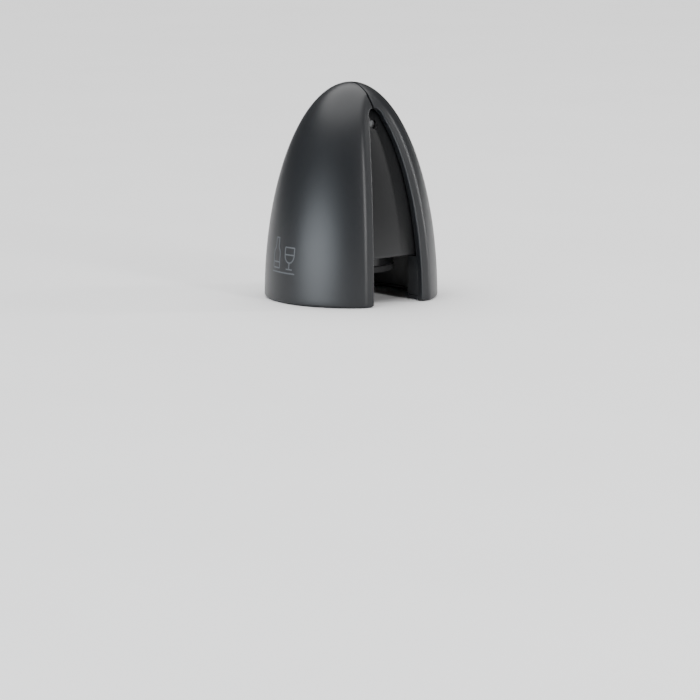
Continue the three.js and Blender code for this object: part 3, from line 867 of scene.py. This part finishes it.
class Nodes:
    """A material's node tree with a Principled surface."""

    def __init__(self, name):
        self.material = bpy.data.materials.new(name)
        self.material.use_nodes = True
        self.tree = self.material.node_tree
        self.surface = self.tree.nodes["Principled BSDF"]

    def add(self, kind, **values):
        node = self.tree.nodes.new(kind)
        for key, value in values.items():
            if key in node.inputs:
                node.inputs[key].default_value = value
            else:
                setattr(node, key, value)
        return node

    def link(self, source, target):
        self.tree.links.new(source, target)

    def noise(self, size_mm, detail=2.0, stretch=(1, 1, 1)):
        """Noise whose features are about this many millimetres across."""
        place = self.add("ShaderNodeTexCoord")
        mapping = self.add("ShaderNodeMapping")
        mapping.inputs["Scale"].default_value = stretch
        texture = self.add("ShaderNodeTexNoise")
        texture.inputs["Scale"].default_value = 1 / (size_mm * MM)
        texture.inputs["Detail"].default_value = detail
        self.link(place.outputs["Object"], mapping.inputs["Vector"])
        self.link(mapping.outputs["Vector"], texture.inputs["Vector"])
        return texture.outputs["Fac"]

    def ramp(self, source, low, high, start=0.3, end=0.7):
        """Maps a texture to a range of numbers or colours."""
        if isinstance(low, tuple):
            ramp = self.add("ShaderNodeValToRGB")
            ramp.color_ramp.elements[0].position = start
            ramp.color_ramp.elements[1].position = end
            ramp.color_ramp.elements[0].color = (*low, 1)
            ramp.color_ramp.elements[1].color = (*high, 1)
            self.link(source, ramp.inputs["Fac"])
            return ramp.outputs["Color"]
        span = self.add("ShaderNodeMapRange")
        for key, value in (("From Min", start), ("From Max", end), ("To Min", low), ("To Max", high)):
            span.inputs[key].default_value = value
        self.link(source, span.inputs["Value"])
        return span.outputs["Result"]

    def bump(self, source, depth_mm, below=None):
        bump = self.add("ShaderNodeBump")
        bump.inputs["Strength"].default_value = 1
        bump.inputs["Distance"].default_value = depth_mm * MM
        self.link(source, bump.inputs["Height"])
        if below:
            self.link(below, bump.inputs["Normal"])
        return bump.outputs["Normal"]


def moulded_plastic(name, dark, light, roughness, grain_mm=0.28, grain_depth=0.0022):
    """Moulded plastic with a fine spark-eroded grain and faint flow marks."""
    nodes = Nodes(name)
    flow = nodes.noise(14, 3, stretch=(1, 1, 0.45))
    grain = nodes.noise(grain_mm, 2)
    nodes.link(nodes.ramp(flow, dark, light), nodes.surface.inputs["Base Color"])
    handled = nodes.noise(9, 2)
    rough = nodes.ramp(handled, roughness - 0.012, roughness + 0.012, 0.2, 0.8)
    nodes.link(rough, nodes.surface.inputs["Roughness"])
    waves = nodes.bump(nodes.noise(11, 0), 0.006)
    nodes.link(nodes.bump(grain, grain_depth, waves), nodes.surface.inputs["Normal"])
    nodes.surface.inputs["IOR"].default_value = 1.44
    return nodes.material


def turned_steel(name, dark, light, roughness, grain_mm=0.3):
    """Steel with fine tool marks and a faint stain."""
    nodes = Nodes(name)
    marks = nodes.noise(grain_mm, 4)
    stain = nodes.noise(2.5, 3)
    nodes.link(nodes.ramp(stain, dark, light), nodes.surface.inputs["Base Color"])
    nodes.link(nodes.ramp(marks, roughness - 0.08, roughness + 0.08), nodes.surface.inputs["Roughness"])
    nodes.link(nodes.bump(marks, 0.002), nodes.surface.inputs["Normal"])
    nodes.surface.inputs["Metallic"].default_value = 1
    return nodes.material


def stop_rubber_material():
    nodes = Nodes("stop_rubber")
    bloom = nodes.noise(3, 5)
    colour = nodes.ramp(bloom, (0.010, 0.010, 0.011), (0.018, 0.018, 0.019))
    nodes.link(colour, nodes.surface.inputs["Base Color"])
    nodes.link(nodes.ramp(bloom, 0.72, 0.88), nodes.surface.inputs["Roughness"])
    nodes.link(nodes.bump(nodes.noise(0.25, 3), 0.01), nodes.surface.inputs["Normal"])
    return nodes.material


GRIP = moulded_plastic("grip_plastic", (0.0078, 0.0084, 0.0098), (0.0096, 0.0104, 0.0120), 0.37)
CORE = moulded_plastic("core_plastic", (0.0085, 0.0087, 0.0093), (0.0105, 0.0107, 0.0113), 0.30)
JAW = moulded_plastic("jaw_plastic", (0.016, 0.017, 0.018), (0.021, 0.022, 0.024), 0.55)
COVER = moulded_plastic("cover_plastic", (0.020, 0.021, 0.023), (0.026, 0.027, 0.030), 0.46)
HUB = moulded_plastic("hub_plastic", (0.040, 0.042, 0.047), (0.050, 0.053, 0.059), 0.38)
BLADE = turned_steel("blade_steel", (0.55, 0.56, 0.57), (0.68, 0.69, 0.70), 0.22)
PIN = turned_steel("pin_steel", (0.14, 0.142, 0.145), (0.19, 0.193, 0.197), 0.36)
SPRING = turned_steel("spring_steel", (0.36, 0.37, 0.39), (0.48, 0.49, 0.51), 0.36)
RUBBER = stop_rubber_material()
MARK = moulded_plastic("grip_mark_ink", (0.062, 0.066, 0.072), (0.072, 0.077, 0.083), 0.55)


def dress(obj, material):
    obj.data.materials.clear()
    obj.data.materials.append(material)
    return obj


# ---- Placing -----------------------------------------------------------------------------------


def placed(side, obj, body, *nodes):
    """Turns a piece to its side, lets it ride on a body and stand for its CAD nodes."""
    moved(obj, Matrix.Rotation(SIDES[side], 4, "Z"))
    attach(obj, body)
    if nodes:
        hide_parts(*nodes)
    return obj


def add_jaw(side):
    body = f"{side}_jaw"
    fine = (
        ("grip_shell", grip_shell, GRIP, "grip_plastic"),
        ("jaw_frame", jaw_frame, JAW, "jaw_plastic"),
        ("wheel_cover", wheel_cover, COVER, "cover_plastic"),
        ("shell_screw", shell_screw, PIN, "pin_steel"),
    )
    for kind, make, material, slot in fine:
        piece = dress(make(f"{side}_{kind}_fine"), material)
        placed(side, piece, body, f"{side}_{kind}")
    placed(side, dress(shell_boss(f"{side}_shell_boss"), GRIP), body)


def add_end(side, end):
    """The wheel, its axle and the cover screw at one end of a jaw."""
    toward = (-1 if end == "front" else 1) * (1 if side == "right" else -1)
    fine = (
        ("cutting_disc", cutting_disc, BLADE, "blade_steel", f"{side}_{end}_wheel", WHEEL_PLACE),
        ("wheel_hub", wheel_hub, HUB, "hub_plastic", f"{side}_{end}_wheel", WHEEL_PLACE),
        ("wheel_axle", wheel_axle, PIN, "pin_steel", f"{side}_jaw", WHEEL_PLACE),
        ("cover_screw", cover_screw, PIN, "pin_steel", f"{side}_jaw", SCREW_PLACE),
    )
    for kind, make, material, slot, body, place in fine:
        piece = dress(make(f"{side}_{end}_{kind}_fine"), material)
        shifted(piece, place.x, toward * place.y)
        placed(side, piece, body, f"{side}_{end}_{kind}")


def add_spring(side):
    """The spring rides on the core, with a mesh of its own."""
    piece = dress(return_spring(f"{side}_return_spring_fine"), SPRING)
    placed(side, piece, "core", f"{side}_return_spring")
    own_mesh(piece)


for side in SIDES:
    add_jaw(side)
    add_spring(side)
    for end in ("front", "rear"):
        add_end(side, end)

core = dress(core_frame("core_frame_fine"), CORE)
placed("right", core, "core", "core_frame")
pad = dress(stop_pad("bottle_stop_pad_fine"), RUBBER)
placed("right", pad, "core", "bottle_stop_pad")
pin = dress(hinge_pin("hinge_pin_fine"), PIN)
placed("right", pin, "core", "hinge_pin")
mark = dress(grip_mark("left_grip_mark"), MARK)
placed("left", mark, "left_jaw")

# ---- Studio ------------------------------------------------------------------------------------

CAMERA_AZIMUTH = math.radians(-37.5)
CAMERA_ELEVATION = math.radians(10.0)
CAMERA_DISTANCE = 1.05
VIEW_WIDTH = 0.1944
FLOOR_HALF = 30000
AIM_BELOW = 0.01533
AIM_LEFT = 0.00028


def toward_camera():
    flat = math.cos(CAMERA_ELEVATION)
    across = math.sin(CAMERA_AZIMUTH) * flat
    return Vector((across, -math.cos(CAMERA_AZIMUTH) * flat, math.sin(CAMERA_ELEVATION)))


def add_camera():
    data = bpy.data.cameras.new("camera")
    data.sensor_width = 36
    data.lens = data.sensor_width * CAMERA_DISTANCE / VIEW_WIDTH
    data.clip_end = 20
    camera = bpy.data.objects.new("camera", data)
    bpy.context.scene.collection.objects.link(camera)
    back = toward_camera()
    turn = back.to_track_quat("Z", "Y")
    aim = turn @ Vector((-AIM_LEFT, -AIM_BELOW, 0))
    camera.location = aim + back * CAMERA_DISTANCE
    camera.rotation_euler = turn.to_euler()
    bpy.context.scene.camera = camera


def add_softbox(name, azimuth, middle, distance, width, height, power, colour=(1, 1, 1)):
    """An upright rectangular light, its middle at a height. Azimuth is measured as the camera's is."""
    data = bpy.data.lights.new(name, "AREA")
    data.shape = "RECTANGLE"
    data.size = width
    data.size_y = height
    data.energy = power
    data.color = colour
    light = bpy.data.objects.new(name, data)
    bpy.context.scene.collection.objects.link(light)
    azimuth = math.radians(azimuth)
    back = Vector((math.sin(azimuth), -math.cos(azimuth), 0))
    light.location = back * distance + Vector((0, 0, middle))
    light.rotation_euler = back.to_track_quat("Z", "Y").to_euler()


def add_overhead(elevation, power, spread):
    """One very soft light from above and behind, even over the whole floor."""
    data = bpy.data.lights.new("overhead", "SUN")
    data.energy = power
    data.angle = math.radians(spread)
    light = bpy.data.objects.new("overhead", data)
    bpy.context.scene.collection.objects.link(light)
    turn = math.radians(90 - elevation)
    back = Vector((0, math.sin(turn), math.cos(turn)))
    light.rotation_euler = back.to_track_quat("Z", "Y").to_euler()


def add_floor():
    corners = ((-1, -1), (1, -1), (1, 1), (-1, 1))
    points = [(x * FLOOR_HALF, y * FLOOR_HALF, 0) for x, y in corners]
    floor = new_object("floor", points, [(0, 1, 2, 3)])
    nodes = Nodes("pale_floor")
    shade_of_floor = nodes.ramp(nodes.noise(60, 2), (0.86, 0.86, 0.86), (0.88, 0.88, 0.88))
    nodes.link(shade_of_floor, nodes.surface.inputs["Base Color"])
    nodes.surface.inputs["Roughness"].default_value = 0.8
    floor.data.materials.append(nodes.material)


def add_world():
    """A pale room, brighter behind the object than in front of it."""
    world = bpy.data.worlds.new("studio")
    world.use_nodes = True
    tree = world.node_tree
    background = tree.nodes["Background"]
    background.inputs["Color"].default_value = (1, 1, 1, 1)
    direction = tree.nodes.new("ShaderNodeTexCoord")
    parts = tree.nodes.new("ShaderNodeSeparateXYZ")
    span = tree.nodes.new("ShaderNodeMapRange")
    for key, value in (("From Min", -0.4), ("From Max", 0.7), ("To Min", 0.05), ("To Max", 0.10)):
        span.inputs[key].default_value = value
    tree.links.new(direction.outputs["Generated"], parts.inputs["Vector"])
    tree.links.new(parts.outputs["Y"], span.inputs["Value"])
    tree.links.new(span.outputs["Result"], background.inputs["Strength"])
    bpy.context.scene.world = world


add_camera()
add_world()
add_floor()
# Three nested boxes make one key light that fades towards its ends.
for width, power in ((0.84, 2.8), (0.50, 2.6), (0.24, 1.1)):
    add_softbox("key", -82, 0.055, 0.8, width, 0.11, power, (0.92, 1.0, 1.07))
add_softbox("left_strip", 3, 0.33, 0.9, 0.06, 0.66, 5.5)
add_softbox("right_strip", 60, 0.33, 0.9, 0.06, 0.66, 4.4)
add_overhead(79, 4.9, 84)
